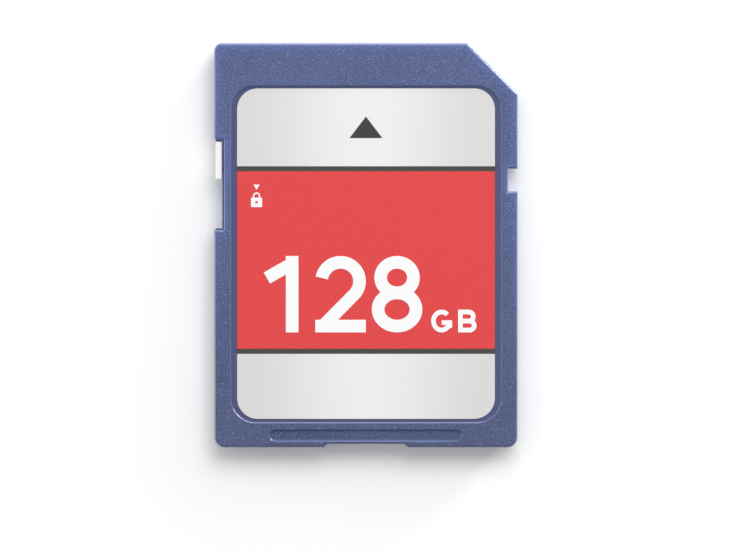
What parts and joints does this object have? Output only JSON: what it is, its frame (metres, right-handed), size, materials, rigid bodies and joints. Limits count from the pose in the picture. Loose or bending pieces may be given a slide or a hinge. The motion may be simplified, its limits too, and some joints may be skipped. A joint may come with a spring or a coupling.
{
  "type": "flash memory card",
  "caption": "Flat rectangular flash memory card with a cut corner, side guide rails, recessed gold contacts, a label recess and a sliding write-protect tab.",
  "frame": {"origin": "centre of the card's outline on its back face, which it lies on", "axes": "+Y towards the contact end, +X towards the cut corner seen from the label, +Z out of the label"},
  "size_m": [0.024, 0.032, 0.0021],
  "materials": {
    "blue_plastic": "fine moulded grain, satin",
    "white_plastic": "smooth, satin",
    "printed_film": "printed film, satin, silver and red fields",
    "board_laminate": "green solder mask",
    "gold_plate": "thin gold plate",
    "chip_resin": "moulded black resin",
    "tinned_lead": "matt tin",
    "capacitor_ceramic": "fired ceramic with tinned ends",
    "resistor_ceramic": "black glaze with tinned ends"
  },
  "bodies": {
    "card": {"front_cover": "blue_plastic", "back_cover": "blue_plastic", "front_label": "printed_film", "circuit_board": "board_laminate", "flash_chip": "chip_resin", "flash_chip_leads": "tinned_lead", "controller_chip": "chip_resin", "controller_terminals": "tinned_lead", "contact_1": "gold_plate", "contact_2": "gold_plate", "contact_3": "gold_plate", "contact_4": "gold_plate", "contact_5": "gold_plate", "contact_6": "gold_plate", "contact_7": "gold_plate", "contact_8": "gold_plate", "contact_9": "gold_plate", "capacitor_1": "capacitor_ceramic", "capacitor_2": "capacitor_ceramic", "capacitor_3": "capacitor_ceramic", "capacitor_4": "capacitor_ceramic", "resistor_1": "resistor_ceramic", "resistor_2": "resistor_ceramic", "resistor_3": "resistor_ceramic", "resistor_4": "resistor_ceramic"},
    "slider": {"write_protect_slider": "white_plastic"}
  },
  "joints": [
    {"name": "write_protect_slide", "type": "slide", "parent": "card", "child": "slider", "axis": [0, -1, 0], "range_m": [0, 0.0038]}
  ]
}
